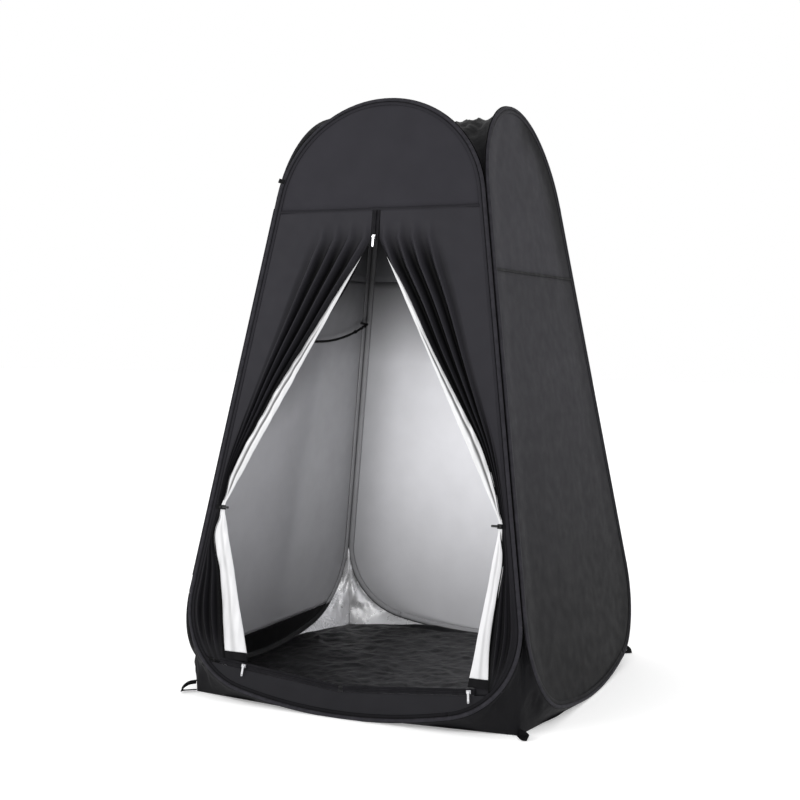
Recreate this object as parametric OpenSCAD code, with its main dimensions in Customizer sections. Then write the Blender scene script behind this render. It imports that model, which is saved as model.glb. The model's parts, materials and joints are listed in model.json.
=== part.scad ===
// Privacy shower tent: four spring-wire hoop panels joined at the corners,
// with an inverted-T zip door, a floor, a roof and four corner gussets.
// Units mm, +Z up. Origin: centre of the footprint, on the ground.
// The door panel faces -Y, the right wall +X, the back wall +Y, the left wall -X.

/* [Tent] */
// Width across the base, between opposite panel planes at ground level
base_w = 1240; // [1220:10:1260]
// Width across the roof, between opposite panel planes at full height
roof_w = 630; // [620:5:640]
// Overall height, ground to the top of the hoops
height = 1900; // [1880:10:1920]

/* [Hoops] */
// Diameter of the spring-steel wire
wire_d = 3.5; // [3:0.1:3.6]
// Outside diameter of the binding tube around the wire
sleeve_d = 11; // [10.6:0.1:11.2]
// Distance from each corner line to the hoop wire centre
edge_in = 11; // [10.8:0.1:11.4]
// Width of the binding tail measured from the wire centre
tail_w = 14; // [13:0.5:15]
// Radius of the lower hoop corners, at the wire centre
corner_r = 258; // [250:2:266]
// Radius of the shallow bottom arc of each hoop, at the wire centre
bottom_r = 1650; // [1600:10:1700]

/* [Cloth] */
// Thickness of the wall cloth solids
cloth_t = 1.5; // [1.2:0.1:1.6]
// Height of the horizontal seam on the right, back and left walls
wall_seam_z = 1355; // [1340:5:1390]
// Height of the dark skirt along the foot of the left wall
skirt_z = 100; // [80:5:190]
// Height of the flat roof cloth
roof_z = 1820; // [1780:5:1830]

/* [Door] */
// Height of the seam above the door
door_seam_z = 1547; // [1530:1:1560]
// Height of the upper slider
door_slider_z = 1458; // [1450:1:1470]
// Height of the sill at the middle of the door
sill_z = 88; // [84:1:94]
// Rise of each sill zip towards the side, degrees
sill_rise = 5.2; // [4.8:0.1:5.6]
// Height of the tie-backs
tie_z = 600; // [590:5:615]
// Left flap, distance from the door centre to its inner edge at the tie
flap_left_waist = 460; // [455:1:465]
// Right flap, distance from the door centre to its inner edge at the tie
flap_right_waist = 470; // [465:1:474]
// Left flap, distance from the door centre to its inner edge at the sill
flap_left_foot = 332; // [325:1:340]
// Right flap, distance from the door centre to its inner edge at the sill
flap_right_foot = 408; // [400:1:415]

/* [Zips] */
// Radius of the zip coil
coil_r = 1.8; // [1.7:0.05:1.85]
// Height of the coil centre above the middle of its tape
coil_h = 3; // [2.9:0.05:3.1]
// Length of each pull tab
pull_l = 32; // [28:1:34]

/* [Line and stakes] */
// Height of the towel line at its ends
line_z = 1200; // [1180:5:1220]
// Radius of the towel line's sag
line_sag_r = 1100; // [1050:10:1200]
// Distance from the footprint centre to each stake loop's fold line
stake_d = 782; // [780:1:786]

/* [Hidden] */
$fn = 32;
k = (base_w - roof_w) / 2 / height;
sl = sqrt(1 + k * k);
lean = atan(k);
th = atan(k / sl);
w0 = base_w / 2;
sr = sleeve_d / 2;
s_lo = sr * sl;
s_hi = (height - sr) * sl;
// top arc, corner arc and bottom arc of the hoop centre line
rt = ((w0 * cos(th) - edge_in) - s_hi * sin(th)) / (1 - sin(th));
st = s_hi - rt;
rc = corner_r;
rb = bottom_r;
sb = s_lo + rb;
hd = w0 * cos(th) - edge_in - rc;
qa = 1 + tan(th) * tan(th);
qb = -2 * hd * sin(th) / (cos(th) * cos(th)) - 2 * sb;
qc = (hd / cos(th)) * (hd / cos(th)) + sb * sb - (rb - rc) * (rb - rc);
cs = (-qb - sqrt(qb * qb - 4 * qa * qc)) / (2 * qa);
cx = (hd - cs * sin(th)) / cos(th);
ab = atan2(cs - sb, cx);
side_l = norm([rt * cos(th) - cx - rc * cos(th), st + rt * sin(th) - cs - rc * sin(th)]);
flap_in = tail_w + 2.6;
flap_t = 3;
flap_cord_r = 2;
seam_h = 16;
wall_gap = 0.4;
tab_a = 162.7;
// offset of the front-right fold line towards the inside
eps = 0.0177;
apex_z = w0 / k;

function s_of(z) = z * sl;
// u of the straight side line, d inside the wire centre, at slope position s
function side_u(s, d) = (w0 * cos(th) - edge_in - d - s * sin(th)) / cos(th);

// place a panel drawn in its own plane: 0 front, 1 right, 2 back, 3 left
module on_panel(i) {
  rotate([0, 0, 90 * i])
    translate([0, -w0, 0])
      rotate([90 - lean, 0, 0])
        children();
}

module arc_sweep(c, r, a0, a1) {
  translate([c[0], c[1], 0])
    rotate([0, 0, a0])
      rotate_extrude(angle = a1 - a0, $fn = r > 1000 ? 900 : 240)
        translate([r, 0])
          children();
}

// sweep a 2-D section (x outward, y along the panel normal) round the hoop
module hoop_sweep() {
  arc_sweep([0, st], rt, th, 180 - th) children();
  arc_sweep([0, sb], rb, -180 - ab, ab) children();
  for (m = [0, 1]) {
    mirror([m, 0, 0]) {
      arc_sweep([cx, cs], rc, ab, th) children();
      translate([rt * cos(th), st + rt * sin(th), 0])
        rotate([90, 0, th])
          linear_extrude(height = side_l)
            children();
    }
  }
}

// short stitched bands where the straight and curved runs meet
module at_joins(len) {
  for (m = [0, 1]) {
    mirror([m, 0, 0]) {
      translate([rt * cos(th), st + rt * sin(th), 0])
        rotate([90, 0, th]) translate([0, 0, -len / 2]) linear_extrude(height = len) children();
      translate([cx + rc * cos(th), cs + rc * sin(th), 0])
        rotate([90, 0, th]) translate([0, 0, -len / 2]) linear_extrude(height = len) children();
      translate([cx + rc * cos(ab), cs + rc * sin(ab), 0])
        rotate([90, 0, ab]) translate([0, 0, -len / 2]) linear_extrude(height = len) children();
    }
  }
}

module hoop_wire() {
  hoop_sweep() circle(d = wire_d);
  at_joins(5) circle(d = wire_d + 0.8);
}

// binding: a tube round the wire, and a flat tail the wall cloth is sewn to
module hoop_sleeve() {
  difference() {
    union() {
      hoop_sweep() circle(r = sr);
      at_joins(8) circle(r = sr + 0.3);
    }
    hoop_sweep() circle(r = 4);
    at_joins(3) circle(r = 4.2);
  }
  difference() {
    translate([0, 0, -1.7]) linear_extrude(height = 3.4) panel_2d(4.75);
    translate([0, 0, -3]) linear_extrude(height = 6) panel_2d(tail_w);
  }
}

module hoop_ferrule() {
  arc_sweep([0, sb], rb, -90.8, -89.2) difference() {
    circle(r = 2.9);
    circle(r = wire_d / 2 + 0.1);
  }
}

// outline of a panel, d inside the wire centre
module panel_2d(d) {
  translate([0, st]) circle(r = rt - d, $fn = 240);
  translate([cx, cs]) circle(r = rc - d, $fn = 240);
  translate([-cx, cs]) circle(r = rc - d, $fn = 240);
  tx = (rt - d) * cos(th);
  ty = st + (rt - d) * sin(th);
  ex = cx + (rc - d) * cos(th);
  ey = cs + (rc - d) * sin(th);
  fx = cx + (rc - d) * cos(ab);
  fy = cs + (rc - d) * sin(ab);
  polygon([[ex, ey], [tx, ty], [-tx, ty], [-ex, ey], [-fx, fy], [fx, fy]]);
  intersection() {
    translate([0, sb]) circle(r = rb - d, $fn = 900);
    polygon([[0, sb], [2 * rb * cos(ab), sb + 2 * rb * sin(ab)],
      [-2 * rb * cos(ab), sb + 2 * rb * sin(ab)]]);
  }
}

// a slice of wall cloth between two heights
module wall(z_lo, z_hi) {
  translate([0, 0, -cloth_t / 2])
    linear_extrude(height = cloth_t)
      intersection() {
        panel_2d(tail_w + 0.4);
        translate([-900, s_of(z_lo)]) square([1800, s_of(z_hi) - s_of(z_lo)]);
      }
}

module seam_strip(z) {
  translate([0, 0, cloth_t / 2 + 0.15])
    linear_extrude(height = 0.8)
      intersection() {
        panel_2d(tail_w + 1);
        translate([-900, s_of(z) - seam_h / 2]) square([1800, seam_h]);
      }
}

// a rod along a corner line, tipped towards the apex; e shifts it inwards
module corner_rod(sx, sy, e, z_lo, z_hi, r) {
  w_lo = (w0 - k * z_lo) * (1 - e);
  w_hi = (w0 - k * z_hi) * (1 - e);
  run = (w_lo - w_hi) * sqrt(2);
  translate([sx * w_lo, sy * w_lo, z_lo])
    rotate([0, 0, atan2(-sy, -sx)])
      rotate([0, atan2(run, z_hi - z_lo), 0])
        cylinder(r = r, h = norm([run, z_hi - z_lo]));
}

// zip rail along +X: tape, web and round coil
module zip_rail(x0, x1, y_lo, y_hi) {
  translate([x0, y_lo, -0.6]) cube([x1 - x0, y_hi - y_lo, 1.2]);
  translate([x0, -0.5, 0]) cube([x1 - x0, 1, coil_h]);
  translate([x0, 0, coil_h]) rotate([0, 90, 0]) cylinder(r = coil_r, h = x1 - x0);
}

module slider_block() {
  difference() {
    translate([-7, -5, 1.1]) cube([14, 10, 6.4]);
    translate([-8, 0, coil_h]) rotate([0, 90, 0]) cylinder(r = coil_r + 0.4, h = 16);
    translate([-8, -0.95, 0]) cube([16, 1.9, coil_h]);
  }
}

// the bail: two ears and the pin the pull hangs on
module slider_bail() {
  for (x = [-4.8, 3.4]) {
    translate([x, -2.5, 7]) cube([1.4, 5, 5.6]);
  }
  translate([-4.1, 0, 10.4]) rotate([0, 90, 0]) cylinder(r = 0.9, h = 8.2);
}

module pull_tab() {
  difference() {
    union() {
      translate([-3.2, 0, 10.4]) rotate([0, 90, 0]) cylinder(r = 2.1, h = 6.4);
      translate([-3.2, -pull_l + 3.2, 9.7]) cube([6.4, pull_l - 3.2, 1.4]);
      translate([0, -pull_l + 3.2, 9.7]) cylinder(r = 3.2, h = 1.4);
    }
    translate([-4, 0, 10.4]) rotate([0, 90, 0]) cylinder(r = 1.15, h = 8);
    translate([0, -pull_l + 4, 9]) cylinder(r = 1.7, h = 3);
  }
}

// the sill zips start at the middle of the door and rise towards the sides
module on_sill(side) {
  mirror([side < 0 ? 1 : 0, 0, 0])
    translate([0, s_of(sill_z), 0])
      rotate([0, 0, sill_rise])
        children();
}

sill_x1 = 432;
function sill_line(u) = s_of(sill_z) + u * tan(sill_rise);

// outline of a gathered flap, drawn on the right-hand side
module flap_2d(waist, foot) {
  intersection() {
    panel_2d(flap_in);
    polygon([[14, s_of(door_seam_z) - 3], [14, s_of(door_slider_z) - 4],
      [waist, s_of(tie_z) + 16], [waist, s_of(tie_z) - 16],
      [foot, sill_line(foot) + 14], [900, sill_line(900) + 14],
      [900, s_of(door_seam_z) - 3]]);
  }
}

module flap(waist, foot) {
  translate([0, 0, -flap_t / 2]) linear_extrude(height = flap_t) flap_2d(waist, foot);
  top_s = s_of(door_seam_z) - 12;
  low_s = cs + (rc - flap_in) * sin(th) + 12;
  translate([side_u(top_s, flap_in), top_s, 0])
    rotate([90, 0, th])
      cylinder(r = flap_cord_r, h = (top_s - low_s) / cos(th));
}

strap_x1 = side_u(s_of(tie_z), flap_in + 4);
peg_in = 5;

// U-shaped strap round the waist of a flap, with the peg its toggle turns on
module strap(waist) {
  s = s_of(tie_z);
  for (z = [1.8, -3.2]) {
    translate([waist - 2, s - 7, z]) cube([strap_x1 - waist + 2, 14, 1.4]);
  }
  translate([waist - 2, s - 7, -3.2]) cube([1.4, 14, 6.4]);
  translate([waist + peg_in, s, 2]) cylinder(r = 1.5, h = 12.6);
  translate([waist + peg_in, s, 13.8]) cylinder(r = 2.8, h = 1.2);
}

module toggle(waist) {
  s = s_of(tie_z);
  difference() {
    translate([waist - 18, s, 8.5]) rotate([0, 90, 0]) cylinder(r = 3.6, h = 30);
    translate([waist + peg_in, s, 3]) cylinder(r = 1.8, h = 12);
  }
}

// lower corner gusset, drawn across the diagonal
module gusset(i) {
  rotate([0, 0, 90 * i - 45])
    translate([768, 0, 0])
      rotate([90, 0, 90])
        rotate([5, 0, 0])
          linear_extrude(height = 1.5)
            polygon([[-58, 9], [58, 9], [52, 100], [3, 280], [-3, 280], [-52, 100]]);
}

// stake loop at a ground corner, lying flat
module stake_loop(i) {
  rotate([0, 0, 90 * i - 45])
    difference() {
      union() {
        translate([stake_d, 11, 2]) rotate([90, 0, 0]) cylinder(r = 2, h = 22);
        translate([stake_d, -11, 1]) cube([34, 22, 2]);
        translate([stake_d + 34, 0, 1]) cylinder(r = 11, h = 2);
      }
      translate([stake_d + 10, -6, 0]) cube([24, 12, 4]);
      translate([stake_d + 34, 0, 0]) cylinder(r = 6, h = 4);
    }
}

line_end = side_u(s_of(line_z), 28);
line_pin = line_end - 8;
line_in = 28;
line_beta = asin(line_pin / line_sag_r);

// towel-line ring and the tab that holds it on the hoop binding
module line_ring(m) {
  mirror([m, 0, 0])
    translate([line_end - 6, s_of(line_z), -line_in]) {
      difference() {
        union() {
          rotate([0, 90, 0]) cylinder(r = 5, h = 6);
          translate([0, -4, 0]) cube([6, 8, line_in - 2.4]);
          translate([0, -4, line_in - 3.6]) cube([23, 8, 1.4]);
        }
        translate([-1, 0, 0]) rotate([0, 90, 0]) cylinder(r = 2.3, h = 8);
      }
    }
}

module wire_front() { color([0.6, 0.61, 0.63]) on_panel(0) hoop_wire(); }
module wire_right() { color([0.6, 0.61, 0.63]) on_panel(1) hoop_wire(); }
module wire_back() { color([0.6, 0.61, 0.63]) on_panel(2) hoop_wire(); }
module wire_left() { color([0.6, 0.61, 0.63]) on_panel(3) hoop_wire(); }
module ferrule_front() { color([0.75, 0.75, 0.76]) on_panel(0) hoop_ferrule(); }
module ferrule_right() { color([0.75, 0.75, 0.76]) on_panel(1) hoop_ferrule(); }
module ferrule_back() { color([0.75, 0.75, 0.76]) on_panel(2) hoop_ferrule(); }
module ferrule_left() { color([0.75, 0.75, 0.76]) on_panel(3) hoop_ferrule(); }
module sleeve_front() { color([0.09, 0.09, 0.1]) on_panel(0) hoop_sleeve(); }
module sleeve_right() { color([0.09, 0.09, 0.1]) on_panel(1) hoop_sleeve(); }
module sleeve_back() { color([0.09, 0.09, 0.1]) on_panel(2) hoop_sleeve(); }
module sleeve_left() { color([0.09, 0.09, 0.1]) on_panel(3) hoop_sleeve(); }
module cord_fl() { color([0.08, 0.08, 0.09]) corner_rod(-1, -1, 0, 380, 1560, 1.5); }
module cord_fr() { color([0.08, 0.08, 0.09]) corner_rod(1, -1, eps, 380, 1540, 1.2); }
module cord_br() { color([0.08, 0.08, 0.09]) corner_rod(1, 1, 0, 380, 1560, 1.5); }

module header_front() {
  color([0.23, 0.23, 0.25]) on_panel(0) {
    wall(door_seam_z, 2000);
    translate([0, 0, -1.4])
      linear_extrude(height = 2.8)
        intersection() {
          panel_2d(tail_w + 1);
          translate([-900, s_of(door_seam_z)]) square([1800, 12]);
        }
  }
}

module sill_front() {
  color([0.15, 0.15, 0.16]) on_panel(0)
    translate([0, 0, -cloth_t / 2])
      linear_extrude(height = cloth_t)
        intersection() {
          panel_2d(tail_w + 0.4);
          polygon([[0, s_of(sill_z) - 11], [900, sill_line(900) - 11],
            [900, -100], [-900, -100], [-900, sill_line(900) - 11]]);
        }
}

module flap_left() {
  color([0.2, 0.2, 0.22]) on_panel(0) mirror([1, 0, 0]) flap(flap_left_waist, flap_left_foot);
}
module flap_right() {
  color([0.2, 0.2, 0.22]) on_panel(0) flap(flap_right_waist, flap_right_foot);
}
module strap_left() {
  color([0.06, 0.06, 0.06]) on_panel(0) mirror([1, 0, 0]) strap(flap_left_waist);
}
module strap_right() {
  color([0.06, 0.06, 0.06]) on_panel(0) strap(flap_right_waist);
}
module toggle_left() {
  color([0.05, 0.05, 0.05]) on_panel(0) mirror([1, 0, 0]) toggle(flap_left_waist);
}
module toggle_right() {
  color([0.05, 0.05, 0.05]) on_panel(0) toggle(flap_right_waist);
}

module zip_top() {
  color([0.07, 0.07, 0.07]) on_panel(0)
    translate([0, s_of(door_slider_z), 0])
      rotate([0, 0, 90])
        zip_rail(-9, s_of(door_seam_z) - s_of(door_slider_z) - 3, -12, 12);
}
module zip_sill_left() {
  color([0.07, 0.07, 0.07]) on_panel(0) on_sill(-1) zip_rail(8, sill_x1, -10, 9);
}
module zip_sill_right() {
  color([0.07, 0.07, 0.07]) on_panel(0) on_sill(1) zip_rail(8, sill_x1, -10, 9);
}

module slider_top() {
  color([0.72, 0.72, 0.73]) on_panel(0)
    translate([0, s_of(door_slider_z), 0]) {
      rotate([0, 0, 90]) slider_block();
      slider_bail();
    }
}
module slider_sill_left() {
  color([0.72, 0.72, 0.73]) on_panel(0) on_sill(-1)
    translate([flap_left_foot + 8, 0, 0]) {
      slider_block();
      slider_bail();
    }
}
module slider_sill_right() {
  color([0.72, 0.72, 0.73]) on_panel(0) on_sill(1)
    translate([flap_right_foot + 8, 0, 0]) {
      slider_block();
      slider_bail();
    }
}
module pull_top() {
  color([0.8, 0.8, 0.81]) on_panel(0) translate([0, s_of(door_slider_z), 0]) pull_tab();
}
module pull_sill_left() {
  color([0.8, 0.8, 0.81]) on_panel(0) on_sill(-1) translate([flap_left_foot + 8, 0, 0]) pull_tab();
}
module pull_sill_right() {
  color([0.8, 0.8, 0.81]) on_panel(0) on_sill(1) translate([flap_right_foot + 8, 0, 0]) pull_tab();
}

// small webbing clip over the upper left shoulder of the front hoop
module tab_shoulder() {
  color([0.05, 0.05, 0.05]) on_panel(0)
    translate([0, st, 0])
      rotate([0, 0, tab_a])
        translate([rt, 7, 0])
          rotate([90, 0, 0])
            linear_extrude(height = 14)
              difference() {
                union() {
                  circle(r = sr + 2.3);
                  translate([-5, -sr - 2.2]) square([6, 2 * sr + 4.4]);
                  translate([6, -1.2]) square([15, 2.4]);
                }
                circle(r = sr + 0.9);
                translate([-9, -sr - 0.8]) square([9.5, 2 * sr + 1.6]);
              }
}

module wall_right_lower() { color([0.2, 0.2, 0.22]) on_panel(1) wall(-20, wall_seam_z - wall_gap); }
module wall_right_upper() { color([0.27, 0.27, 0.29]) on_panel(1) wall(wall_seam_z, 2000); }
module seam_right() { color([0.2, 0.2, 0.21]) on_panel(1) seam_strip(wall_seam_z); }
module wall_back_lower() { color([0.2, 0.2, 0.22]) on_panel(2) wall(-20, wall_seam_z - wall_gap); }
module wall_back_upper() { color([0.27, 0.27, 0.29]) on_panel(2) wall(wall_seam_z, 2000); }
module seam_back() { color([0.2, 0.2, 0.21]) on_panel(2) seam_strip(wall_seam_z); }
module wall_left_skirt() { color([0.1, 0.1, 0.11]) on_panel(3) wall(-20, skirt_z - wall_gap); }
module wall_left_lower() { color([0.2, 0.2, 0.22]) on_panel(3) wall(skirt_z, wall_seam_z - wall_gap); }
module wall_left_upper() { color([0.27, 0.27, 0.29]) on_panel(3) wall(wall_seam_z, 2000); }
module seam_left() { color([0.2, 0.2, 0.21]) on_panel(3) seam_strip(wall_seam_z); }

module floor() {
  e = w0 - 14;
  c = (stake_d - 6) / sqrt(2);
  color([0.1, 0.1, 0.11])
    linear_extrude(height = 2)
      polygon([[-330, -e], [330, -e], [c, -c], [e, -330], [e, 330], [c, c],
        [330, e], [-330, e], [-c, c], [-e, 330], [-e, -330], [-c, -c]]);
}

module roof() {
  h = w0 - k * roof_z - 12;
  color([0.13, 0.13, 0.14])
    translate([0, 0, roof_z])
      linear_extrude(height = 2)
        polygon([[-210, -h], [210, -h], [h, -210], [h, 210], [210, h], [-210, h],
          [-h, 210], [-h, -210]]);
}

module gusset_fl() { color([0.12, 0.12, 0.13]) gusset(3); }
module gusset_fr() { color([0.12, 0.12, 0.13]) gusset(0); }
module gusset_br() { color([0.12, 0.12, 0.13]) gusset(1); }
module gusset_bl() { color([0.12, 0.12, 0.13]) gusset(2); }

module towel_line() {
  color([0.04, 0.04, 0.04]) on_panel(3)
    translate([0, s_of(line_z), -line_in]) {
      rotate([lean, 0, 0])
        arc_sweep([0, line_sag_r * cos(line_beta)], line_sag_r,
          -90 - line_beta, -90 + line_beta) circle(r = 2.6);
      for (x = [-1, 1]) {
        translate([x * line_pin, 0, 0]) sphere(r = 2.9);
      }
      translate([-line_end, 0, 0]) rotate([0, 90, 0]) cylinder(r = 1.9, h = line_end - line_pin);
      translate([line_pin, 0, 0]) rotate([0, 90, 0]) cylinder(r = 1.9, h = line_end - line_pin);
    }
}
module line_ring_front() { color([0.06, 0.06, 0.06]) on_panel(3) line_ring(0); }
module line_ring_back() { color([0.06, 0.06, 0.06]) on_panel(3) line_ring(1); }
module stake_fl() { color([0.05, 0.05, 0.05]) stake_loop(3); }
module stake_fr() { color([0.05, 0.05, 0.05]) stake_loop(0); }
module stake_br() { color([0.05, 0.05, 0.05]) stake_loop(1); }
module stake_bl() { color([0.05, 0.05, 0.05]) stake_loop(2); }

wire_front();
wire_right();
wire_back();
wire_left();
ferrule_front();
ferrule_right();
ferrule_back();
ferrule_left();
sleeve_front();
sleeve_right();
sleeve_back();
sleeve_left();
cord_fl();
cord_fr();
cord_br();
header_front();
sill_front();
flap_left();
flap_right();
strap_left();
strap_right();
toggle_left();
toggle_right();
zip_top();
zip_sill_left();
zip_sill_right();
slider_top();
slider_sill_left();
slider_sill_right();
pull_top();
pull_sill_left();
pull_sill_right();
tab_shoulder();
wall_right_lower();
wall_right_upper();
seam_right();
wall_back_lower();
wall_back_upper();
seam_back();
wall_left_skirt();
wall_left_lower();
wall_left_upper();
seam_left();
floor();
roof();
gusset_fl();
gusset_fr();
gusset_br();
gusset_bl();
towel_line();
line_ring_front();
line_ring_back();
stake_fl();
stake_fr();
stake_br();
stake_bl();
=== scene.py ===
"""Looks for a privacy shower tent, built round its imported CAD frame.

Metres, +Z up, door facing -Y. A cloth point is given on its own panel as u (across), s (up the slope) and
n (outwards from the panel), and place() puts it in the frame. Panels: 0 front, 1 right, 2 back, 3 left.
"""
import json
import math

import bpy
import numpy as np
from mathutils import Matrix, Vector, noise


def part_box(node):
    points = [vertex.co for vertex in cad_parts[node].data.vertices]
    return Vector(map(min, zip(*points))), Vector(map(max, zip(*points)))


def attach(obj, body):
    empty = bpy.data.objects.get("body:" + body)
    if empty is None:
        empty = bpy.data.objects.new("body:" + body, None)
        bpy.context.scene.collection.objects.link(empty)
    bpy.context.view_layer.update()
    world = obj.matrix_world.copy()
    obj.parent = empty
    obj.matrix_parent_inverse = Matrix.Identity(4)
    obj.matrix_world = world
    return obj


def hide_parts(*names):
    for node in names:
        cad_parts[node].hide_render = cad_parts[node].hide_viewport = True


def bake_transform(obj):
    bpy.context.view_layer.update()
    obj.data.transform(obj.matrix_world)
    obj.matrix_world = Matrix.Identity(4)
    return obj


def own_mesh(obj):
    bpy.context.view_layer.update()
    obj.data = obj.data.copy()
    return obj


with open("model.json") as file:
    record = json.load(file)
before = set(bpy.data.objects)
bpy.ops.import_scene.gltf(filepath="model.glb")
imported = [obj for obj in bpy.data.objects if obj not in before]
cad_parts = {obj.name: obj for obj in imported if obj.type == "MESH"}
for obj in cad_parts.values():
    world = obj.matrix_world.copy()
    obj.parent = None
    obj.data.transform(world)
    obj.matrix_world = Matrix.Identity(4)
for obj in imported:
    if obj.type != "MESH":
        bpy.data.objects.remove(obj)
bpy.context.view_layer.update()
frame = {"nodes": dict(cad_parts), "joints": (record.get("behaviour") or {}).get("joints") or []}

# ---------------------------------------------------------------- sizes, read from the frame

CORNER = next(j for j in frame["joints"] if j["name"] == "left_fold")
LEAN_RUN = CORNER["axis"][0] / CORNER["axis"][2]  # how far a panel leans in for each metre it rises
HALF_BASE = -CORNER["pos_m"][0] + LEAN_RUN * CORNER["pos_m"][2]
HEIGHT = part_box("sleeve_front")[1].z
SLOPE = math.hypot(1, LEAN_RUN)
TAPER = math.atan(LEAN_RUN / SLOPE)
SIN_T, COS_T = math.sin(TAPER), math.cos(TAPER)

SLEEVE_R = 0.0055  # binding tube round the wire
EDGE_IN = 0.011  # corner line to wire centre
TAIL = 0.0144  # wire centre to where the wall cloth starts
DOOR_EDGE = 0.0144  # wire centre to the outer edge of a door flap
CORNER_R = 0.258
BOTTOM_R = 1.65

BELOW, ABOVE = -0.01, HEIGHT + 0.1  # past the foot and the top, for a slice that runs to the hoop
S_LOW = SLEEVE_R * SLOPE
S_HIGH = (HEIGHT - SLEEVE_R) * SLOPE
TOP_R = ((HALF_BASE * COS_T - EDGE_IN) - S_HIGH * SIN_T) / (1 - SIN_T)
TOP_S = S_HIGH - TOP_R
BOTTOM_S = S_LOW + BOTTOM_R


def corner_arc():
    """Centre and lower end angle of the lower corner arc, tangent to the side line and the bottom arc."""
    reach = HALF_BASE * COS_T - EDGE_IN - CORNER_R
    a = 1 + math.tan(TAPER) ** 2
    b = -2 * reach * SIN_T / COS_T**2 - 2 * BOTTOM_S
    c = (reach / COS_T) ** 2 + BOTTOM_S**2 - (BOTTOM_R - CORNER_R) ** 2
    s = (-b - math.sqrt(b * b - 4 * a * c)) / (2 * a)
    u = (reach - s * SIN_T) / COS_T
    return u, s, math.atan2(s - BOTTOM_S, u)


ARC_U, ARC_S, ARC_END = corner_arc()

SEAM_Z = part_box("wall_right_upper")[0].z
SKIRT_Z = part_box("wall_left_lower")[0].z
DOOR_TOP_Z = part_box("header_front")[0].z
SLIDER_Z = sum(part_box("slider_top")[i].z for i in (0, 1)) / 2
TIE_Z = sum(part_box("strap_right")[i].z for i in (0, 1)) / 2
WAIST = {-1: -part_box("strap_left")[1].x + 0.002, 1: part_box("strap_right")[0].x + 0.002}
FOOT = {
    -1: -sum(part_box("slider_sill_left")[i].x for i in (0, 1)) / 2 - 0.008,
    1: sum(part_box("slider_sill_right")[i].x for i in (0, 1)) / 2 - 0.008,
}
SILL_Z = 0.088
SILL_RISE = math.tan(math.radians(5.2))
GROUND_CORNER = 0.5487
BODY = ("front", "right", "back", "left")
SIDE_NAME = {-1: "left", 1: "right"}
ZIP_HALF = 0.011  # sill line to the edge of the sill cloth
THREAD_PITCH = 0.0065
BEHIND_TUBE = -0.0078  # n of cloth sewn on behind the binding
ROOF_CROWN = 0.02
ROOF_CREASE = 0.02
FOIL_CREASE = 0.018
LOOP_REACH = 0.05
WEBBING_HALF = 0.0085
HEM_LAP = 0.004  # the header's hem hangs this far over the flaps
SLACK = 0.003  # how far a wall's cloth sags in, and how far the sag varies
RIPPLE = 0.0006  # small ripples along the binding
PUCKER = 0.0012  # gathers at a seam
TRAY_END = 0.2  # the floor is sewn to each hoop this far from its middle; gussets take over beyond


# ---------------------------------------------------------------- geometry helpers


def place(panel, u, s, n=0.0):
    """Frame points for points on a panel's slope."""
    u, s, n = np.broadcast_arrays(np.asarray(u, float), np.asarray(s, float), np.asarray(n, float))
    x, y, z = u, -HALF_BASE + (s * LEAN_RUN - n) / SLOPE, (s + n * LEAN_RUN) / SLOPE
    for _ in range(panel):
        x, y = -y, x
    return np.stack([x, y, z], axis=-1)


def out_of(panel):
    """Unit vector pointing out of a panel."""
    v = place(panel, 0, 0, 1.0) - place(panel, 0, 0, 0.0)
    return v / np.linalg.norm(v)


def ramp(x, lo, hi):
    """0 below lo, 1 above hi, smooth between."""
    t = np.clip((np.asarray(x, float) - lo) / (hi - lo), 0, 1)
    return t * t * (3 - 2 * t)


def bunched(count, share):
    """-1 to 1 in steps that shorten towards both ends, more so for a share near 1."""
    return np.sin(np.linspace(-1, 1, count) * math.pi / 2 * share) / math.sin(math.pi / 2 * share)


def curve(x, knots):
    """Smooth value at x through a few (x, value) knots, given in rising x."""
    xs, ys = np.array(knots, float).T
    slopes = np.gradient(ys, xs)
    x = np.clip(x, xs[0], xs[-1])
    i = np.clip(np.searchsorted(xs, x) - 1, 0, len(xs) - 2)
    h = xs[i + 1] - xs[i]
    t = (x - xs[i]) / h
    return (
        ys[i] * (1 + 2 * t) * (1 - t) ** 2
        + h * slopes[i] * t * (1 - t) ** 2
        + ys[i + 1] * t * t * (3 - 2 * t)
        + h * slopes[i + 1] * t * t * (t - 1)
    )


def bumps(points, size, seed):
    """Smooth noise, about -1 to 1, with features of the given size: one value for each point."""
    shift = Vector((7.13 * seed, 3.37 * seed, 5.71 * seed))
    flat = np.asarray(points, float).reshape(-1, 3) / size
    return np.array([noise.noise(Vector(p) + shift) for p in flat]).reshape(points.shape[:-1])


def creases(points, size, seed):
    """Crumpled-foil relief, 0 to 1, with sharp ridges, from two scales of folded noise."""
    big = 1 - np.abs(bumps(points, size, seed)) * 1.8
    small = 1 - np.abs(bumps(points, size * 0.43, seed + 3)) * 1.8
    return np.clip(0.68 * big + 0.32 * small, 0, 1)


def root(f, a, b):
    """Root of f between a and b by halving."""
    for _ in range(60):
        m = (a + b) / 2
        if f(a) * f(m) <= 0:
            b = m
        else:
            a = m
    return (a + b) / 2


def half_width(s, d):
    """Half the panel's width at slope height s, d inside the wire centre."""
    s = np.asarray(s, float)
    top, corner, bottom = TOP_R - d, CORNER_R - d, BOTTOM_R - d
    side = (HALF_BASE * COS_T - EDGE_IN - d - s * SIN_T) / COS_T
    upper = np.sqrt(np.clip(top**2 - (s - TOP_S) ** 2, 0, None))
    lower = ARC_U + np.sqrt(np.clip(corner**2 - (s - ARC_S) ** 2, 0, None))
    foot = np.sqrt(np.clip(bottom**2 - (BOTTOM_S - s) ** 2, 0, None))
    wide = np.where(s > TOP_S + top * SIN_T, upper, side)
    wide = np.where(s < ARC_S + corner * SIN_T, lower, wide)
    return np.where(s < ARC_S + corner * math.sin(ARC_END), foot, wide)


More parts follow.
